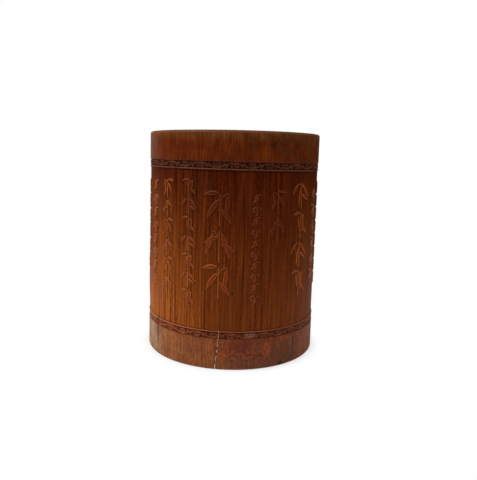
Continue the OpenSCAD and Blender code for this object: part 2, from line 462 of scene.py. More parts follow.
def twig_stroke(x, y, radius, start, end):
    """A short twig, curved along an arc round x, y."""
    angles = np.radians(np.linspace(start, end, 9))
    points = np.stack([x + radius * np.cos(angles), y + radius * np.sin(angles)], -1)
    return stroke(points, np.linspace(0.8, 1.0, 9) * TWIG_W / 2)


def stem_stroke(pitch):
    """One joint of a stem, swollen at both ends."""
    t = np.linspace(0, 1, 9)
    half = STEM_W / 2 * (0.92 + 0.3 * np.abs(2 * t - 1) ** 8)
    y = -JOINT_LOW * pitch + half[0] + t * (JOINT_LEN * pitch - 2 * half[0])
    return stroke(np.stack([0 * t, y], -1), half)


def spray_strokes(i):
    """Every stroke of a spray, in its own flat frame: x along the wall, y the height on the pot."""
    _, foot, top, clusters, size = SPRAYS[i]
    pitch = (top - foot) * FIELD_H / clusters
    found = []
    for k in range(clusters):
        kind = (i + 2 * k) % len(LEAVES)
        side = -1 if (i + k) % 2 else 1
        middle = np.array([0, FIELD_LOW + foot * FIELD_H + (k + 0.5) * pitch])
        x, y, radius, start, end = TWIGS[kind]
        lines = [stem_stroke(pitch), twig_stroke(x * size, y * size, radius * size, start, end)]
        lines += [leaf_stroke(x * size, y * size, lean, length * size, width * size)
                  for x, y, lean, length, width in LEAVES[kind]]
        for line in lines:
            line["points"] = line["points"] * (side, 1) + middle
        found += lines
    return found


def islands(panel):
    """Grid vertices and faces of the carved islands of a panel: the outer surface, a back and the sides."""
    inside = panel["outside"] < SKIRT
    cells = inside[:-1, :-1] | inside[1:, :-1] | inside[:-1, 1:] | inside[1:, 1:]
    # Cells that touch only at a corner are joined, because four sides would meet there.
    for _ in range(3):
        a, b, c, d = cells[:-1, :-1], cells[1:, :-1], cells[:-1, 1:], cells[1:, 1:]
        b |= a & d & ~b & ~c
        a |= b & c & ~a & ~d
    index = np.arange(inside.size).reshape(inside.shape)
    quads = np.stack([index[:-1, :-1], index[1:, :-1], index[1:, 1:], index[:-1, 1:]], -1)[cells]
    used, front = np.unique(quads, return_inverse=True)
    front, count = front.reshape(quads.shape), len(used)
    start, end = front.ravel(), np.roll(front, -1, 1).ravel()
    rim = ~np.isin(start * count + end, end * count + start)
    sides = np.stack([end, start, start + count, end + count], -1)[rim]
    return np.unravel_index(used, inside.shape), np.concatenate([front, front[:, ::-1] + count, sides])


def spray(i, materials):
    """A column of carving: islands of skin, each with a crown, flanks and a back sunk into the ground."""
    strokes = spray_strokes(i)
    middles = np.concatenate([s["points"] for s in strokes])
    (x0, y0), (x1, y1) = middles.min(0) - 3, middles.max(0) + 3
    xs, ys = np.arange(x0, x1, GRID), np.arange(y0, y1, GRID)
    x, y = np.meshgrid(xs, ys, indexing="ij")
    panel = blank(xs, ys, x, y)
    for line in strokes:
        carve(panel, line)
    used, faces = islands(panel)
    slope_x, slope_y = np.gradient(panel["outside"], GRID)
    over = np.clip(panel["outside"] - SKIRT, 0, None)
    x, y = (x - slope_x * over)[used], (y - slope_y * over)[used]
    height, wear, over = panel["height"][used], panel["wear"][used], over[used]
    arc = math.radians(SPRAYS[i][0]) * WALL_R + x
    uneven = 0.05 * (1 + waves(arc, y, 90, 260, 40 + i, 0.5)) * height
    r = ground_r(y) + RELIEF * (height - uneven * 0.6)
    r = np.where(over > 0, ground_r(y) - SUNK, r)
    points = np.concatenate([wrap(arc, y, r), wrap(arc, y, ground_r(y) - 2 * SUNK)])
    add_piece(f"spray_{i + 1:02d}", points, faces.tolist(), materials,
              np.concatenate([wear, np.full(len(wear), -1.0)]), crease=CARVED_CREASE)


# ---- friezes

SCROLLS = 34
SCROLL_ARC = ROUND / SCROLLS
LINE_HALF = 0.24         # half-width of a scroll's lines
LINE_END = 0.18          # and of the inner end of its curl
CURL_R = 1.72            # size of the curl, how much wider than high it is, and how far it hangs
CURL_STRETCH = 1.65
CURL_DROP = 0.3
CURL_TURN = 3.5 * math.pi
VINE_RISE = 1.5          # the wavy line goes this far above and below the frieze's middle
# The two short lines under each arm of an arch: [start, end, depth under the arch, more of it at the end].
UNDER_LINES = ((3.5, 5.2, 0.75, 0.2), (4.1, 5.5, 1.45, 0.3))


def scroll_strokes(rng):
    """The lines of one scroll, upright, with its middle at 0, 0, cut a little differently each time."""
    jitter = rng.normal(0, 0.07, 2)
    size = 1 + rng.normal(0, 0.05)

    def vine(x):
        return VINE_RISE * np.cos(math.pi * x / SCROLL_ARC)

    x = np.linspace(-SCROLL_ARC / 2, SCROLL_ARC / 2, 15)
    found = [stroke(np.stack([x, vine(x)], -1), np.full(15, LINE_HALF))]
    s = np.linspace(0, 1, 34)
    angle = math.pi / 2 - CURL_TURN * s
    r = size * CURL_R * (1 - 0.8 * s)
    curl = np.stack([CURL_STRETCH * r * np.cos(angle), r * np.sin(angle) - CURL_DROP], -1) + jitter
    found.append(stroke(curl, np.linspace(LINE_HALF, LINE_END, 34)))
    for side in (-1, 1):
        for start, end, under, taper in UNDER_LINES:
            x = side * np.linspace(start, end, 6)
            y = vine(x) - np.linspace(under, under + taper, 6)
            found.append(stroke(np.stack([x, y], -1), np.linspace(0.14, 0.22, 6)))
    return found


def frieze(node, seed, materials):
    """A ring of scrolls, upright and upside down in turn, over a floor darkened with dirt and painted
    shade.
    """
    z0, z1 = low(node), high(node)
    z = np.linspace(z0, z1, 32)[:, None]
    up = z[:, 0] - (z0 + z1) / 2
    split = z0 < FIELD_LOW
    rng = np.random.default_rng(seed)
    scrolls = [scroll_strokes(rng) for _ in range(SCROLLS)]
    shells = []
    for arcs in stretches(FRIEZE_STEP) if split else full_turn(FRIEZE_STEP):
        column = bend(arcs[None, :], z)
        panel = blank(arcs, up, column.T, np.broadcast_to(up, column.T.shape))
        panel["height"][:] = 0.2 + 0.05 * waves(column, z, 200, 500, seed, 4).T
        # The floor: dark with dirt and painted shade.
        panel["wear"][:] = -0.8 + 0.2 * waves(column, z, 60, 200, seed + 2, 1).T
        for turn in range(-SCROLLS, SCROLLS + 1):
            flip = -1 if turn % 2 else 1
            for line in scrolls[turn % SCROLLS]:
                carve(panel, dict(line, points=line["points"] * (1, flip) + (turn * SCROLL_ARC, 0)))
        uneven = 0.06 + 0.05 * waves(column, z, 20, 90, seed + 1, 0.3)
        outer = wrap(column, z, ground_r(z) + RELIEF * np.maximum(panel["height"].T - uneven, 0.05))
        shells.append(ring_shell(arcs, z, outer, panel["wear"].T, not split))
    add_shells(node, shells, materials, CARVED_CREASE)


# ---- plain bands and fillets

# Wear and shade at shares of the way up the lip's rounding: light low down with wear and painted highlight,
# dark on top with grime and painted shade. And from a fillet's lower edge, -1, to its upper one, 1: dark
# below with dirt and painted shade, light above with wear and painted highlight.
LIP_WEAR_AND_SHADE = ([0, 0.2, 0.5, 0.7], [1.0, 0.9, -0.5, -0.9])
FILLET_WEAR_AND_SHADE = ([-1, -0.5, -0.15, 0.6, 1], [-1, -0.8, 0.85, 1, -0.3])


def skin_end(radius):
    """Angle from straight out at which a rounded edge has cut right through the skin, in degrees."""
    return math.degrees(math.acos(1 - RELIEF / radius))


def band_depth(seed):
    """Depth that hand work and wear take off a plain band: shallow flats along the fibres, and a chip."""
    def depth(arc, z):
        chip = np.exp(-((arc - math.radians(CHIP_AT) * WALL_R) / 1.7) ** 2 - (z / 2.4) ** 2)
        return 0.03 * (1 + waves(arc, z, 30, 110, seed, 0.02)) + 0.4 * chip, -0.9 * chip

    return depth


def rim_band(materials):
    """The plain band at the mouth. Its lip is dark on top with grime and painted shade, and light on the
    outside with wear and painted highlight.
    """
    lip = [(d, POT_H - LIP_ROUND + h, np.interp(h / LIP_ROUND, *LIP_WEAR_AND_SHADE))
           for d, h in round_edge(LIP_ROUND, 0, skin_end(LIP_ROUND), 9)]
    body = [(0.0, z, 0.0) for z in np.linspace(RIM_LOW + 0.6, POT_H - LIP_ROUND - 0.8, 12)]
    body.append((0.0, POT_H - LIP_ROUND - 0.3, 0.6))
    # The band's lower edge: dark at the step with dirt and painted shade, rubbed light just above.
    foot = [(0.34, RIM_LOW, -0.6), (0.14, RIM_LOW + 0.08, 0.2), (0.03, RIM_LOW + 0.25, 0.15)]
    ring_piece("rim_band", foot + body + lip, full_turn(BAND_STEP), band_depth(5), materials)


def foot_band(materials):
    """The plain band at the foot, cut through by both splits."""
    # The rounded bottom edge: painted shade along its underside, rubbed light above.
    edge = [(d, FOOT_ROUND - h, 0.8 - 1.7 * h / FOOT_ROUND)
            for d, h in round_edge(FOOT_ROUND, skin_end(FOOT_ROUND), 0, 9)]
    body = [(0.0, z, 0.0) for z in np.linspace(FOOT_ROUND + 0.5, FOOT_HIGH - 0.6, 22)]
    # The top edge: rubbed light, then dark at the step with dirt and painted shade.
    top = [(0.03, FOOT_HIGH - 0.25, 0.3), (0.14, FOOT_HIGH - 0.08, 0.5), (0.34, FOOT_HIGH, -0.6)]
    ring_piece("foot_band", edge + body + top, stretches(BAND_STEP), band_depth(6), materials)


def fillet(node, arcs_list, seed, materials):
    """A narrow line of skin with rounded edges that the knife left a little uneven."""
    half, middle = (high(node) - low(node)) / 2, (low(node) + high(node)) / 2
    # Dark along the lower edge with dirt and painted shade, light above with wear and painted highlight.
    profile = [(RELIEF * 0.9 * (1 - math.cos(a) ** 0.6), middle + half * math.sin(a),
                np.interp(math.sin(a), *FILLET_WEAR_AND_SHADE)) for a in np.radians(np.linspace(-90, 90, 9))]

    def depth(arc, z):
        return 0.05 + 0.05 * waves(arc, 0 * z, 20, 160, seed), 0 * arc

    ring_piece(node, profile, arcs_list, depth, materials, CARVED_CREASE)


# ---- culm, floor and filler


def wall_depth(arc, z):
    """Depth of the scraper's flats, the hairline and the pinhole in the ground, and its wear and shade:
    dark along the hairline, painted shade in the pinhole.
    """
    taken = 0.05 * (1 + waves(arc, z, 50, 130, 1, 0.03)) + 0.02 * (1 + waves(arc, z, 150, 260, 2, 0.15))
    hair = np.exp(-((arc - HAIRLINE_ARC) / 0.14) ** 2) * np.interp(z, [28, 60, 98, 116], [0, 1, 1, 0])
    hole = np.hypot(past(arc, PINHOLE_ARC), z - PINHOLE_Z) < PINHOLE_R
    return np.where(hole, PINHOLE_DEEP, taken + 0.22 * hair), np.where(hole, -1.0, -0.65 * hair)


def culm_wall(materials):
    """The culm: carved ground outside, worn end grain on top, the bore, and the rebate under the floor."""
    beside_hole = (-0.8, -0.63, -0.58, -0.3, 0, 0.3, 0.58, 0.63, 0.8)
    extra = [PINHOLE_ARC + s for s in beside_hole]
    extra += [HAIRLINE_ARC + s for s in (-0.3, -0.15, 0, 0.15, 0.3)]
    arcs = columns(0, ROUND, CULM_STEP, [a % ROUND for a in extra])[None, :-1]
    heights = apart([
        *np.arange(1.5, FIELD_LOW - 1, 2.2), *np.arange(FIELD_LOW - 0.6, FIELD_HIGH + 0.6, 1.25),
        *(PINHOLE_Z + s for s in beside_hole), *np.linspace(FIELD_HIGH + 1.5, POT_H - 1.2, 5)])

    # Rows of (radius, height, part) once round the section; parts are numbered as the materials are.
    foot = [(skin_r(FOOT_ROUND - h) - d, FOOT_ROUND - h, 0)
            for d, h in round_edge(FOOT_ROUND, 90, skin_end(FOOT_ROUND), 4)]
    outside = [(ground_r(z), z, 0) for z in heights]
    lip = [(skin_r(POT_H - LIP_ROUND + h) - d, POT_H - LIP_ROUND + h, 1)
           for d, h in round_edge(LIP_ROUND, skin_end(LIP_ROUND), 90, 3)]
    outer_edge, inner_edge = skin_r(POT_H) - LIP_ROUND, BORE_R + BORE_ROUND
    top = [(r, POT_H - 0.04 * (i % 2), 1) for i, r in enumerate(np.linspace(outer_edge, inner_edge, 9)[1:])]
    mouth = [(inner_edge - BORE_ROUND * math.sin(a), POT_H - BORE_ROUND * (1 - math.cos(a)), 2)
             for a in np.radians(np.linspace(15, 90, 6))]
    bore = [(BORE_R, z, 2) for z in np.linspace(POT_H - BORE_ROUND, FLOOR_HIGH, 40)[1:]]
    rebate = [(SEAT_R, FLOOR_HIGH, 3), (SEAT_R, 0.6, 3), (SEAT_R + 0.5, 0.0, 3)]
    r, z, part = (np.array(c)[:, None] for c in zip(*foot, *outside, *lip, *top, *mouth, *bore, *rebate))

    column = np.where(part <= 1, bend(arcs, z), arcs)
    taken, worn_and_shaded = wall_depth(column, z)
    splits, dirt = split_marks(arcs, z)
    on_outside = part == 0
    in_field = on_outside & (z > FIELD_LOW - 1) & (z < FIELD_HIGH + 1)
    in_bore = (part == 2) & (z < POT_H - 3) & (z > FLOOR_HIGH)
    r = r - np.where(in_field, taken, 0) - np.where(on_outside, splits, 0)
    r = r + np.where(in_bore, 0.06 * (1 + waves(arcs, z, 20, 70, 8, 0.02)), 0)
    # Dark along the hairline; painted shade in the pinhole and in the splits; dirt and painted shade beside
    # them.
    wear = np.where(in_field, worn_and_shaded - dirt, 0) - (on_outside & (splits > 0))
    points = wrap(column, z, r)
    loop = numbered(points)
    faces = grid_faces(np.vstack([loop, loop[:1]]), True)
    kinds = np.append(np.maximum(part[:-1, 0], part[1:, 0]), 3)
    add_piece("culm_wall", points.reshape(-1, 3), faces, materials, wear.ravel(),
              material_of=np.repeat(kinds, arcs.size).astype(np.int32))


def floor_disc(materials):
    """The turned floor, with shallow tool rings, chamfered edges and a plain underside."""
    radius = widest("floor_disc")
    rings = np.linspace(radius - 0.6, 0.6, 60)
    top = [(r, FLOOR_HIGH - 0.05 - 0.05 * math.sin(0.9 * i) ** 2) for i, r in enumerate(rings)]
    under = [(r, FLOOR_LOW + 0.04 * (i % 2)) for i, r in enumerate(np.linspace(0.6, radius - 0.6, 40))]
    edge = [(radius, FLOOR_LOW + 0.6), (radius, FLOOR_HIGH - 0.6)]
    r, z = (np.array(c)[:, None] for c in zip(*(under + edge + top)))
    arcs = np.linspace(0, ROUND, 181)[:-1]
    points = wrap(arcs[None, :], z, r)
    index = numbered(points)
    faces = grid_faces(index, True) + [index[0, ::-1].tolist(), index[-1].tolist()]
    add_piece("floor_disc", points.reshape(-1, 3), faces, materials)


def split_filler(materials):
    """The putty in the split: level with the skin in places, and fallen out in others."""
    split = SPLITS["filled"]
    z = np.arange(0.7, split["line"][-1, 1] - 2, 0.25)[:, None]
    across = split["arc"] + np.array([-0.5, -0.44, -0.25, 0, 0.25, 0.44, 0.5])[None, :]
    column = bend(across, z)
    rng = np.random.default_rng(12)
    rough = np.convolve(rng.normal(0, 1, len(z) + 8), np.ones(5) / 5, "valid")[:len(z), None]
    lost = np.interp(z, [0, 6, 8, 12, 13.5, 20, 38], [-0.5, -0.5, 0.25, 0.25, -0.6, -0.6, -0.3])
    left = np.linspace(0.5, -0.5, 7)[None, :]
    fallen = FALLEN_DEEP * np.clip(1.6 * rough + 1.2 * lost + 0.9 * left, 0, 1)
    crown = 0.03 + 0.1 * (np.abs(np.linspace(-1, 1, 7)) ** 3)[None, :]
    surface = np.where(z < FIELD_LOW, skin_r(z), ground_r(z))
    edge = np.clip((FOOT_ROUND - z) / FOOT_ROUND, 0, 1)
    surface = surface - FOOT_ROUND * (1 - np.sqrt(1 - edge ** 2))
    outer = wrap(column, z, surface - crown - fallen - 0.12 * rng.random(column.shape))
    inner = wrap(column[[0, -1]], z[[0, -1]], skin_r(0) - SPLIT_DEPTH + 0.2)
    putty = shell(outer, inner, -fallen / FALLEN_DEEP, closed=False)
    add_shells("split_filler", [putty], materials)


# ---- materials


def rgb(*color):
    """A colour for a shader, given as it looks on screen, from 0 to 255."""
    return (*(((c / 255 + 0.055) / 1.055) ** 2.4 if c > 10 else c / 255 / 12.92 for c in color), 1.0)


WHITE = (1.0, 1.0, 1.0, 1.0)
DARK = (0.33, 0.22, 0.26, 1.0)       # what a colour is multiplied by in its darkest fibres
LIGHT = (1.8, 2.15, 2.1, 1.0)        # and in its lightest


class Nodes:
    """A node tree in the making. Its methods add nodes and return their output sockets."""

    def __init__(self, tree):
        self.tree = tree
        self.tree.nodes.clear()

    def add(self, kind, options=None, **inputs):
        node = self.tree.nodes.new("ShaderNode" + kind)
        for key, value in (options or {}).items():
            setattr(node, key, value)
        for key, value in inputs.items():
            self.plug(node.inputs[key.replace("_", " ")], value)
        return node

    def plug(self, socket, value):
        if isinstance(value, bpy.types.NodeSocket):
            self.tree.links.new(value, socket)
        else:
            socket.default_value = value

    def math(self, operation, *values, kind="Math", result=0):
        node = self.add(kind, {"operation": operation})
        for socket, value in zip(node.inputs, values):
            self.plug(socket, value)
        return node.outputs[result]

    def times(self, a, b):
        return self.math("MULTIPLY", a, b)

    def plus(self, a, b):
        return self.math("ADD", a, b)

    def scaled(self, value, factor, start):
        """start + factor * value."""
        return self.math("MULTIPLY_ADD", value, factor, start)

    def mix(self, share, a, b, blend="MIX"):
        node = self.add("Mix", {"data_type": "RGBA", "blend_type": blend})
        for socket, value in ((node.inputs[0], share), (node.inputs[6], a), (node.inputs[7], b)):
            self.plug(socket, value)
        return node.outputs[2]

    def between(self, value, start, end, smooth=True):
        """0 up to start, 1 from end on; start may be above end."""
        options = {"interpolation_type": "SMOOTHSTEP" if smooth else "LINEAR"}
        return self.add("MapRange", options, Value=value, From_Min=start, From_Max=end).outputs["Result"]

    def output(self, kind, first, second, share):
        """Ends the tree in a mix of two shaders."""
        mixed = self.add("MixShader", Fac=share)
        self.plug(mixed.inputs[1], first.outputs[0])
        self.plug(mixed.inputs[2], second.outputs[0])
        self.add(kind, Surface=mixed.outputs[0])


class Shade(Nodes):
    """A procedural material in the making, with its colour so far. Regions of it are sockets that are 1
    inside and 0 outside, given in degrees of azimuth and millimetres."""

    def __init__(self, name):
        self.material = bpy.data.materials.new(name)
        self.material.use_nodes = True
        super().__init__(self.material.node_tree)
        self.place = self.add("TexCoord").outputs["Object"]
        x, y, z = self.add("SeparateXYZ", Vector=self.place).outputs
        flat = self.add("CombineXYZ", X=x, Y=y).outputs[0]
        self.out = self.times(self.math("LENGTH", flat, kind="VectorMath", result="Value"), 1 / MM)
        self.height = self.times(z, 1 / MM)
        self.azimuth = self.times(self.math("ARCTAN2", x, self.times(y, -1.0)), math.degrees(1))
        self.front = self.between(self.math("ABSOLUTE", self.azimuth), 176, 130)
        # Rubbed light, with painted highlight in places, above 0; dirt, with painted shade, below 0.
        self.worn_and_shaded = self.add("Attribute", {"attribute_name": "wear"}).outputs["Fac"]

    def grain(self, across, along, seed, detail=3.0, roughness=0.55):
        """Noise from 0 to 1 drawn out along the culm; sizes in millimetres."""
        scale = (1 / (across * MM), 1 / (across * MM), 1 / (along * MM))
        place = self.add("Mapping", Vector=self.place, Location=(seed, 2.3 * seed, 5.1 * seed), Scale=scale)
        noise = self.add("TexNoise", Vector=place.outputs[0], Scale=1.0, Detail=detail, Roughness=roughness)
        return noise.outputs["Fac"]

    def fibres(self, *grains):
        """Sum of grains about 0. Each is given as its size across and along, seed, detail and weight."""
        total = 0.0
        for across, along, seed, detail, weight in grains:
            about_zero = self.math("SUBTRACT", self.grain(across, along, seed, detail), 0.5)
            total = self.scaled(about_zero, weight, total)
        return total

    def above(self, start, end, smooth=True):
        """0 up to the height start and 1 from end on; start may be above end."""
        return self.between(self.height, start, end, smooth)

    def belt(self, low_z, high_z, soft):
        """1 between two heights, with soft edges."""
        return self.times(self.above(low_z - soft, low_z + soft), self.above(high_z + soft, high_z - soft))

    def side(self, start, end):
        """0 up to the azimuth start and 1 from end on, but always 0 at the back, where azimuths meet."""
        return self.times(self.between(self.azimuth, start, end), self.front)

    def patch(self, azimuth, half_width, low_z, high_z, soft=2.0):
        """A soft-edged patch of the wall."""
        off = self.math("ABSOLUTE", self.math("SUBTRACT", self.azimuth, azimuth))
        return self.times(self.between(off, half_width, 0.3 * half_width), self.belt(low_z, high_z, soft))

    def shaded(self, color, tone):
        """A colour darkened where tone is -1 and lightened where it is 1."""
        color = self.mix(self.times(tone, -1.0), color, DARK, "MULTIPLY")
        return self.mix(tone, color, LIGHT, "MULTIPLY")

    def paint(self, where, color, strength=1.0):
        """Lays a colour over the material, in full where `where` and `strength` are both 1."""
        self.color = self.mix(self.times(where, strength), self.color, color)

    def tint(self, where, *factors):
        """Multiplies the material's red, green and blue where `where` is 1."""
        self.color = self.mix(where, self.color, (*factors, 1.0), "MULTIPLY")

    def finish(self, roughness, bump, depth, specular):
        """Joins the sockets to a shader. bump is a height from 0 to 1, and depth its full size in mm."""
        normal = self.add("Bump", Height=bump, Distance=depth * MM, Strength=1.0).outputs[0]
        shader = self.add("BsdfPrincipled", Base_Color=self.color, Roughness=roughness, Normal=normal,
                          Specular_IOR_Level=specular)
        self.add("OutputMaterial", Surface=shader.outputs[0])
        return self.material


def bamboo_ground():
    """The scraped flesh of the carved field: brown, with fine vertical fibres, lighter low on the left,
    partly as painted light.
    """
    m = Shade("bamboo_ground")
    fibres = m.fibres((0.8, 2.4, 1, 1.0, 1.3), (0.85, 45, 8, 1.0, 3.2), (1.2, 70, 4, 1.0, 0.6),
                      (9, 90, 3, 1.0, 0.2))
    uneven = m.between(m.grain(22, 40, 6, 1.0), 0.35, 0.65)
    low_left = m.times(m.above(80, 30), m.side(-8, -24))
    tone = m.times(fibres, m.scaled(low_left, 0.3, m.scaled(uneven, 0.4, 0.65)))
    # Darker towards the top, lighter low on the left: partly the flesh's own colour, partly painted light.
    share = m.times(m.above(124, 36, smooth=False), m.scaled(m.side(2, -62), 0.68, 0.32))
    m.color = m.shaded(m.mix(share, rgb(89, 30, 5), rgb(160, 82, 25)), tone)
    shade = m.times(m.patch(-20, 12, 112, 124, 5.0), m.between(m.grain(1.5, 50, 2), 0.35, 0.6))
    m.paint(shade, rgb(58, 42, 30), 0.45)
    streak = m.times(m.patch(7, 0.45, 36, 112, 9.0), m.between(m.grain(0.8, 16, 5), 0.3, 0.6))
    m.paint(streak, rgb(38, 14, 6), 0.6)
    high_right = m.times(m.side(36, 56), m.above(58, 76))
    m.tint(high_right, 1.2, 1.42, 0.95)
    # Painted sheen: paler and bluer high at the far left.
    sheen = m.times(m.side(-48, -62), m.above(92, 108))
    m.tint(sheen, 1.1, 1.3, 1.9)
    # Dirt and painted shade in the corners beside the fillets.
    beside_fillets = m.math("MAXIMUM", m.above(FIELD_HIGH - 1.6, FIELD_HIGH - 0.1),
                            m.above(FIELD_LOW + 0.9, FIELD_LOW))
    m.paint(beside_fillets, rgb(42, 17, 6), 0.6)
    # Dark where wear is low: the hairline; painted shade in pinhole and splits, dirt and shade by them.
    m.paint(m.between(m.worn_and_shaded, 0.0, -0.7), rgb(26, 11, 5))
    return m.finish(m.scaled(fibres, 0.16, 0.52), fibres, 0.12, specular=0.05)


def bamboo_skin():
    """The polished outer skin of the plain bands and fillets: red-brown and satin, mottled at the foot,
    with painted sheen towards the left.
    """
    m = Shade("bamboo_skin")
    foot = m.above(24, 18)
    rim = m.above(RIM_LOW - 4, RIM_LOW)
    cloud = m.grain(5, 8, 16)
    mottle = m.fibres((1.2, 2.2, 13, 3.0, 1.0), (0.8, 1.4, 22, 1.0, 0.8))
    fibres = m.fibres((0.5, 7, 18, 1.0, 1.7), (0.85, 14, 11, 1.0, 1.4), (1.2, 30, 12, 1.0, 0.6))
    mottled = m.plus(m.times(foot, m.side(-40, 5)), m.times(rim, m.side(0, 30)))
    tone = m.plus(m.times(fibres, m.scaled(mottled, -0.2, 1.0)),
                  m.times(mottle, m.scaled(foot, 1.1, m.times(mottled, 1.6))))
    # Lighter to the left: partly own colour, partly painted sheen. Palest at the far left: painted sheen.
    m.color = m.mix(m.side(10, -75), rgb(118, 53, 19), rgb(170, 104, 54))
    m.paint(m.side(-46, -60), rgb(178, 136, 96))
    m.paint(m.between(cloud, 0.4, 0.66), rgb(120, 52, 20), 0.5)
    upper = m.mix(m.between(cloud, 0.34, 0.66), rgb(120, 50, 13), rgb(104, 40, 10))
    m.color = m.shaded(m.mix(foot, upper, m.color), tone)

    # The front of the foot: red-brown clouds, greyer at the edge, with worm-like light and dark marks.
    m.paint(m.times(m.patch(12, 25, 11, 20, 2.5), m.between(cloud, 0.28, 0.56)), rgb(106, 36, 11), 0.8)
    m.paint(m.patch(18, 42, -4, 7, 3.0), rgb(106, 66, 44), 0.5)
    worms = m.fibres((1.0, 1.9, 19, 1.0, 1.0))
    front = m.patch(10, 20, 6, 14, 2.5)
    m.paint(m.times(front, m.between(worms, 0.02, 0.12)), rgb(70, 32, 18), 0.7)
    m.paint(m.times(front, m.between(worms, -0.02, -0.12)), rgb(160, 78, 44), 0.45)

    # Painted sheen lightens the foot's front and right and the rim's right; the foot is darker low on its
    # left;
    # the lip is paler, partly worn and partly painted highlight.
    m.tint(m.patch(-7, 15, -4, 20, 3.0), 1.22, 1.34, 1.22)
    m.tint(m.times(foot, m.side(44, 55)), 1.24, 1.42, 1.3)
    m.tint(m.times(m.above(16, 0), m.side(-42, -58)), 0.74, 0.74, 0.67)
    m.tint(m.patch(0, 130, 146.5, 160, 3.0), 1.2, 2.1, 3.6)
    m.tint(m.times(rim, m.side(48, 60)), 1.22, 1.42, 1.55)

    # Marks of the foot: orange spots, dirt, a scratch in a dark border, and the chip.
    for spot in (m.patch(23.5, 4, 9, 18), m.patch(-5, 3, 8.5, 11.5)):
        m.paint(m.times(spot, m.between(mottle, -0.12, 0.06)), rgb(180, 82, 28), 0.55)
    dirt = m.times(m.patch(39, 17, 3, 16, 3.0), m.between(m.grain(1.4, 5, 14), 0.36, 0.56))
    m.paint(dirt, rgb(80, 50, 26), 0.6)
    m.paint(m.patch(44.4, 1.1, 4, 19, 1.0), rgb(54, 34, 16), 0.6)
    scratch = m.times(m.patch(42.8, 0.7, 8, 18, 1.0), m.between(m.grain(1.0, 2.2, 20), 0.47, 0.56))
    m.paint(scratch, rgb(150, 122, 70), 0.8)
    m.paint(m.patch(CHIP_AT, 2.4, -3, 3.2, 1.2), rgb(60, 24, 15), 0.85)

    # Marks of the rim: an olive stain, a dark cloud, an orange spot and a dark line aslant.
    stain = m.times(m.times(rim, m.side(22, 34)), m.between(m.grain(4, 5, 15, 4.0, 0.6), 0.56, 0.42))
    m.paint(stain, rgb(98, 56, 28), 0.6)
    m.paint(m.times(m.patch(8.5, 6, 138, 149, 3.0), m.between(mottle, 0.1, -0.1)), rgb(70, 34, 12), 0.5)
    m.paint(m.patch(18, 2.6, 133, 142.5, 1.5), rgb(150, 68, 12), 0.55)
    aslant = m.scaled(m.height, 0.78, 22.4 - 0.78 * 141.5)
    m.paint(m.patch(aslant, 1.4, 141, 147, 1.5), rgb(50, 24, 14), 0.65)

    # Edges rubbed light, partly painted highlight, and paler at the left as painted sheen; a belt high up
    # darker;
    # dark corners and edges with dirt and painted shade.
    low_fillet = m.belt(24, 26.5, 0.5)
    cream = m.mix(m.side(-46, -60), rgb(206, 128, 78), rgb(226, 176, 128))
    crest = m.mix(low_fillet, rgb(160, 90, 48), m.mix(m.side(0, -45), rgb(164, 84, 46), cream))
    bright = m.scaled(m.math("MAXIMUM", low_fillet, rim), 0.3, 0.55)
    m.paint(m.between(m.worn_and_shaded, 0.15, 0.9), crest, bright)
    m.tint(m.belt(126.5, 129.5, 0.5), 0.84, 0.84, 0.8)
    m.paint(m.between(m.worn_and_shaded, -0.1, -0.8), rgb(30, 12, 7))
    roughness = m.scaled(mottle, 0.14, m.scaled(foot, 0.18, 0.36))
    return m.finish(roughness, m.plus(fibres, m.times(mottle, mottled)), 0.05, specular=0.2)


def bamboo_relief():
    """Skin left standing as strokes: red crowns, light worn shoulders, dirt and painted shade round the
    foot,
    and painted light: lighter at the sides, darker high up.
    """
    m = Shade("bamboo_relief")
    fine = m.grain(0.5, 12, 21, 2.0)
    # Painted light: crowns lighter towards the left and at the far right.
    side = m.math("MAXIMUM", m.side(30, -50), m.times(m.side(32, 50), 0.8))
    m.color = m.mix(side, rgb(124, 42, 7), rgb(172, 78, 20))
    m.paint(m.between(fine, 0.45, 0.65), rgb(110, 40, 9), 0.5)
    # Worn shoulders, paler at the left as painted sheen and at the far right as painted highlight.
    crest = m.mix(side, rgb(160, 84, 26), m.mix(m.side(-46, -60), rgb(206, 128, 62), rgb(208, 148, 100)))
    crest = m.mix(m.side(52, 62), crest, rgb(196, 140, 104))
    m.paint(m.between(m.worn_and_shaded, 0.15, 0.9), crest, 0.7)
    # Dirt and painted shade at the foot of the flanks.
    m.paint(m.between(m.worn_and_shaded, -0.05, -0.75), rgb(44, 16, 5))
    # Painted shade: darker high on the left and front, and darker towards the top.
    m.tint(m.patch(-16, 36, 96, 130, 22.0), 0.6, 0.52, 0.5)
    m.tint(m.above(62, 92), 0.84, 0.8, 0.8)
    return m.finish(m.scaled(fine, 0.12, 0.38), fine, 0.04, specular=0.12)


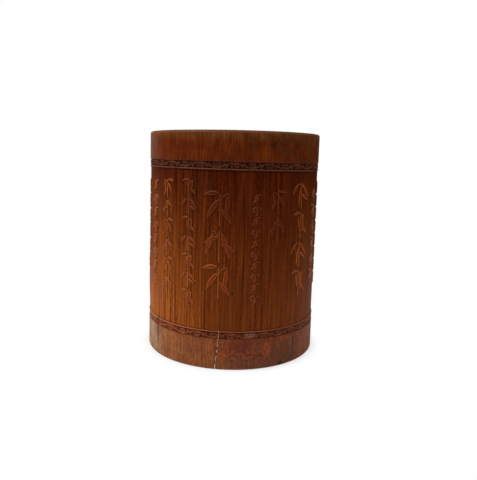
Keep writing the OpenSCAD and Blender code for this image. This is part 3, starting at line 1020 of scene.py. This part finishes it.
def carved_recess():
    """The friezes: lines of worn skin with painted highlight over a dark floor that holds old dirt and wax
    and painted shade, with more painted light by height and side.
    """
    m = Shade("carved_recess")
    fine = m.grain(0.6, 6, 31)
    lower, upper = m.above(40, 30), m.above(100, 110)
    m.color = m.mix(m.between(fine, 0.35, 0.65), rgb(112, 50, 23), rgb(136, 68, 32))
    # Raised lines worn light with painted highlight; the floor dark with dirt, wax and painted shade.
    m.paint(m.between(m.worn_and_shaded, 0.2, 0.9), rgb(190, 112, 64), 0.8)
    m.paint(m.between(m.worn_and_shaded, 0.1, -0.5), m.mix(lower, rgb(58, 21, 11), rgb(74, 28, 12)))
    # Painted light: the upper frieze darker but lighter at its sides, the lower one lighter at its left.
    m.tint(upper, 0.6, 0.56, 0.58)
    m.tint(lower, 0.92, 0.8, 0.8)
    m.tint(m.times(lower, m.side(-4, -42)), 1.6, 1.55, 1.42)
    m.tint(m.times(upper, m.side(22, 46)), 1.4, 1.32, 1.25)
    m.tint(m.times(upper, m.side(-22, -50)), 1.16, 1.12, 1.1)
    blot = m.times(m.patch(12.5, 4.5, 21.5, 24.6, 1.0), m.between(m.grain(0.9, 0.8, 33), 0.44, 0.56))
    m.paint(blot, rgb(176, 140, 128), 0.6)
    return m.finish(m.scaled(fine, 0.2, 0.42), fine, 0.05, specular=0.12)


def end_grain():
    """The cut top of the wall: pale flesh with the dark dots of fibre bundles, dense near the outside."""
    m = Shade("end_grain")
    cells = m.add("TexVoronoi", {"voronoi_dimensions": "2D"}, Vector=m.place, Scale=1 / (0.85 * MM))
    edge = skin_r(POT_H)
    size = m.scaled(m.between(m.out, BORE_R, edge - RELIEF), 0.34, 0.14)
    dots = m.math("LESS_THAN", cells.outputs["Distance"], size)
    stain = m.grain(6, 6, 41, 4.0)
    m.color = m.mix(m.between(stain, 0.35, 0.7), rgb(150, 96, 48), rgb(112, 66, 32))
    m.paint(dots, rgb(66, 34, 17), 0.75)
    # Dark along the outer edge with grime and painted shade.
    m.paint(m.between(m.out, edge - 2.2, edge - 0.4), rgb(60, 44, 24), 0.7)
    return m.finish(m.scaled(stain, 0.2, 0.5), dots, 0.05, specular=0.4)


def bore_wood():
    """The inside of the culm: paler and unpolished, with soft vertical fibres and a foot darkened as
    painted shade.
    """
    m = Shade("bore_wood")
    fine = m.grain(0.7, 25, 51)
    broad = m.grain(8, 40, 52)
    m.color = m.mix(m.between(broad, 0.35, 0.65), rgb(150, 100, 54), rgb(120, 74, 36))
    m.paint(m.between(fine, 0.45, 0.7), rgb(92, 54, 26), 0.5)
    # Painted shade, darker down towards the floor.
    m.paint(m.above(45, 8), rgb(66, 40, 20), 0.6)
    return m.finish(m.scaled(fine, 0.15, 0.58), m.plus(fine, broad), 0.12, specular=0.35)


def floor_wood():
    """Turned wood of the floor: straight grain across the disc, darkened towards the wall as painted shade.
    """
    m = Shade("floor_wood")
    place = m.add("Mapping", Vector=m.place, Scale=(1 / (26 * MM), 1 / (1.3 * MM), 1 / (9 * MM)))
    grain = m.add("TexNoise", Vector=place.outputs[0], Scale=1.0, Detail=4.0, Distortion=0.4).outputs["Fac"]
    pores = m.add("TexNoise", Vector=place.outputs[0], Scale=3.0, Detail=2.0).outputs["Fac"]
    m.color = m.mix(m.between(grain, 0.3, 0.7), rgb(150, 96, 50), rgb(108, 62, 30))
    m.paint(m.between(pores, 0.58, 0.72), rgb(66, 36, 17), 0.6)
    # Painted shade towards the wall.
    m.paint(m.between(m.out, 40, 52), rgb(58, 34, 18), 0.55)
    return m.finish(m.scaled(grain, 0.2, 0.5), m.plus(grain, pores), 0.1, specular=0.4)


def pale_filler():
    """Dry putty: pale and crumbly, grey-brown with dirt and painted shade where it has sunk or fallen out.
    """
    m = Shade("pale_filler")
    speck = m.grain(0.5, 1.2, 61)
    m.color = m.mix(m.between(speck, 0.36, 0.58), rgb(176, 142, 100), rgb(230, 208, 172))
    m.paint(m.above(14, 19), rgb(196, 148, 92), 0.5)
    m.paint(m.above(FIELD_LOW - 1, FIELD_LOW + 2), rgb(140, 78, 30), 0.8)
    # Dirt and painted shade where it has sunk or fallen out.
    m.paint(m.between(m.worn_and_shaded, -0.15, -0.7), rgb(38, 22, 14))
    return m.finish(m.scaled(speck, 0.2, 0.7), speck, 0.2, specular=0.2)


# ---- the pot

ground, skin, raised, recess = bamboo_ground(), bamboo_skin(), bamboo_relief(), carved_recess()
wood, putty = floor_wood(), pale_filler()
culm_wall([ground, end_grain(), bore_wood(), wood])
floor_disc([wood])
rim_band([skin])
foot_band([skin])
frieze("upper_frieze", 70, [recess])
frieze("lower_frieze", 80, [recess])
fillet("upper_fillet", full_turn(BAND_STEP), 90, [skin])
fillet("lower_fillet", stretches(BAND_STEP), 91, [skin])
split_filler([putty])
for number in range(len(SPRAYS)):
    spray(number, [raised])

# ---- stage, light and camera

# The sheet under the pot, in millimetres from its axis. To the light it ends between SHEET_ENDS, and to
# the camera the shade on it ends between SHADE_ENDS.
FLOOR_REACH = 800
SHEET_ENDS = (200, 450)
SHADE_ENDS = (50, 68)

# A soft box high at the left, and the light of the room: its ceiling, and a warm window at the back left.
BOX_AT = (-0.75, -0.22, 0.95)
BOX_SIZE = 0.6
BOX_POWER = 6
CEILING = 1.9
WINDOW = 0.5
WINDOW_TOWARDS = (-0.35, 0.94, 0.0)
WARM = (1.0, 0.78, 0.6, 1.0)

CAMERA_AT = (0.0, -0.3722, 0.1364)
PITCH, YAW, ROLL = math.radians(9.357), math.radians(0.6746), math.radians(1.6658)
LENS = 38.52


def floor_stage():
    """A pale sheet under the pot, which the camera sees run on, even white."""
    m = Shade("pale_floor")
    pale = m.mix(m.between(m.out, *SHEET_ENDS), (0.82, 0.82, 0.82, 1), (0.08, 0.08, 0.08, 1))
    sheet = m.add("BsdfDiffuse", Color=pale)
    white = m.add("Emission", Color=WHITE, Strength=1.0)
    seen = m.times(m.add("LightPath").outputs["Is Camera Ray"], m.between(m.out, *SHADE_ENDS))
    m.output("OutputMaterial", sheet, white, seen)
    bpy.ops.mesh.primitive_circle_add(vertices=128, radius=FLOOR_REACH * MM, fill_type="NGON")
    floor = bpy.context.object
    floor.name = "floor"
    floor.data.materials.append(m.material)


def put(name, data, place, rotation):
    """A new object in the scene."""
    made = bpy.data.objects.new(name, data)
    made.location = place
    made.rotation_mode = "QUATERNION"
    made.rotation_quaternion = rotation
    bpy.context.scene.collection.objects.link(made)
    return made


def soft_box():
    """The soft box, aimed at the pot and unseen by the camera."""
    data = bpy.data.lights.new("key", "AREA")
    data.size = BOX_SIZE
    data.energy = BOX_POWER
    towards = Vector((0, 0, POT_H / 2 * MM)) - Vector(BOX_AT)
    put("key", data, BOX_AT, towards.to_track_quat("-Z", "Y")).visible_camera = False


def world():
    """White where the camera sees it; as light, a dim room with a bright ceiling and a window."""
    made = bpy.data.worlds.new("studio")
    bpy.context.scene.world = made
    made.use_nodes = True
    m = Nodes(made.node_tree)
    place = m.add("TexCoord").outputs["Generated"]
    up = m.add("SeparateXYZ", Vector=place).outputs["Z"]
    facing = m.math("DOT_PRODUCT", place, WINDOW_TOWARDS, kind="VectorMath", result="Value")
    window = m.times(m.between(facing, 0.6, 1.0), WINDOW)
    strength = m.scaled(m.between(up, 0.4, 1.0), CEILING, window)
    room = m.add("Background", Color=m.mix(m.between(facing, 0.3, 0.6), WHITE, WARM), Strength=strength)
    white = m.add("Background", Color=WHITE)
    m.output("OutputWorld", room, white, m.add("LightPath").outputs["Is Camera Ray"])


def camera():
    """Looks slightly down, from a little under the level of the lip."""
    data = bpy.data.cameras.new("camera")
    data.sensor_width = 36.0
    data.lens = LENS
    data.clip_start, data.clip_end = 0.01, 100.0
    ahead = Vector((math.sin(YAW) * math.cos(PITCH), math.cos(YAW) * math.cos(PITCH), -math.sin(PITCH)))
    rotation = ahead.to_track_quat("-Z", "Y") @ Quaternion((0, 0, 1), ROLL)
    bpy.context.scene.camera = put("camera", data, CAMERA_AT, rotation)


floor_stage()
soft_box()
world()
camera()
bpy.context.scene.view_settings.view_transform = "Standard"
